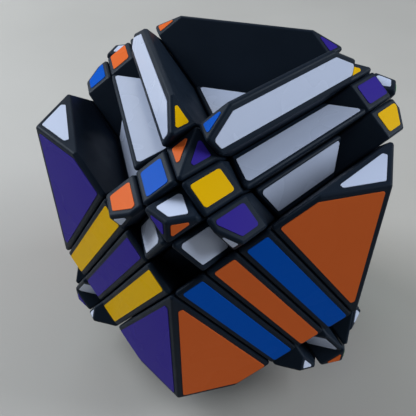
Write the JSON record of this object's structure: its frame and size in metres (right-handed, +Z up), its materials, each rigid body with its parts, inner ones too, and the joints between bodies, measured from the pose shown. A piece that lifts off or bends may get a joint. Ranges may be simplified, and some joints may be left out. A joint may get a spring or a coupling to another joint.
{
  "type": "hexagonal prism twisty puzzle",
  "caption": "Layered twisty puzzle shaped as an upright hexagonal prism, held in its checker pattern, with layers that turn about a tilted axis.",
  "frame": {"origin": "on the floor under the ball core, the middle of the footprint", "axes": "+Z up along the prism's own axis; -Y towards the side edge where the front layer's turning axis comes out, +X to the right of it"},
  "size_m": [0.1044, 0.1124, 0.1065],
  "materials": {
    "black_plastic": "satin moulded black",
    "core_plastic": "moulded black",
    "steel": "plain bright",
    "sticker_white": "satin vinyl",
    "sticker_purple": "satin vinyl",
    "sticker_orange": "satin vinyl",
    "sticker_yellow": "satin vinyl",
    "sticker_blue": "satin vinyl",
    "sticker_green": "satin vinyl",
    "sticker_red": "satin vinyl"
  },
  "bodies": {
    "root": {"core": "core_plastic", "screw_front": "steel", "screw_back": "steel", "screw_lower_left": "steel", "screw_lower_right": "steel", "screw_upper_right": "steel", "screw_upper_left": "steel", "spring_front": "steel", "spring_back": "steel", "spring_lower_left": "steel", "spring_lower_right": "steel", "spring_upper_right": "steel", "spring_upper_left": "steel", "middle_slice_quarter_bottom": "black_plastic", "middle_slice_quarter_right": "black_plastic", "middle_slice_quarter_top": "black_plastic", "middle_slice_quarter_left": "black_plastic"},
    "front_slice": {"front_slice_quarter_bottom": "black_plastic", "front_slice_quarter_right": "black_plastic", "front_slice_quarter_top": "black_plastic", "front_slice_quarter_left": "black_plastic"},
    "front_layer": {"front_center": "black_plastic", "front_t_center_lower_left": "black_plastic", "front_x_center_bottom": "black_plastic", "front_midge_lower_left": "black_plastic", "front_wing_lower_left_by_left": "black_plastic", "front_wing_lower_left_by_bottom": "black_plastic", "front_corner_bottom": "black_plastic", "front_t_center_lower_right": "black_plastic", "front_x_center_right": "black_plastic", "front_midge_lower_right": "black_plastic", "front_wing_lower_right_by_bottom": "black_plastic", "front_wing_lower_right_by_right": "black_plastic", "front_corner_right": "black_plastic", "front_t_center_upper_right": "black_plastic", "front_x_center_top": "black_plastic", "front_midge_upper_right": "black_plastic", "front_wing_upper_right_by_right": "black_plastic", "front_wing_upper_right_by_top": "black_plastic", "front_corner_top": "black_plastic", "front_t_center_upper_left": "black_plastic", "front_x_center_left": "black_plastic", "front_midge_upper_left": "black_plastic", "front_wing_upper_left_by_top": "black_plastic", "front_wing_upper_left_by_left": "black_plastic", "front_corner_left": "black_plastic"},
    "back_slice": {"back_slice_quarter_bottom": "black_plastic", "back_slice_quarter_right": "black_plastic", "back_slice_quarter_top": "black_plastic", "back_slice_quarter_left": "black_plastic"},
    "back_layer": {"back_center_block": "black_plastic", "back_edge_row_lower_left": "black_plastic", "back_corner_bottom": "black_plastic", "back_edge_row_lower_right": "black_plastic", "back_corner_right": "black_plastic", "back_edge_row_upper_right": "black_plastic", "back_corner_top": "black_plastic", "back_edge_row_upper_left": "black_plastic", "back_corner_left": "black_plastic"}
  },
  "joints": [
    {"name": "front_layer_turn", "type": "hinge", "parent": "root", "child": "front_layer", "pos_m": [0, 0, 0.05323], "axis": [0, -0.8165, 0.5774], "continuous": true},
    {"name": "front_slice_turn", "type": "hinge", "parent": "root", "child": "front_slice", "pos_m": [0, 0, 0.05323], "axis": [0, -0.8165, 0.5774], "continuous": true},
    {"name": "back_slice_turn", "type": "hinge", "parent": "root", "child": "back_slice", "pos_m": [0, 0, 0.05323], "axis": [0, -0.8165, 0.5774], "continuous": true},
    {"name": "back_layer_turn", "type": "hinge", "parent": "root", "child": "back_layer", "pos_m": [0, 0, 0.05323], "axis": [0, -0.8165, 0.5774], "continuous": true}
  ]
}
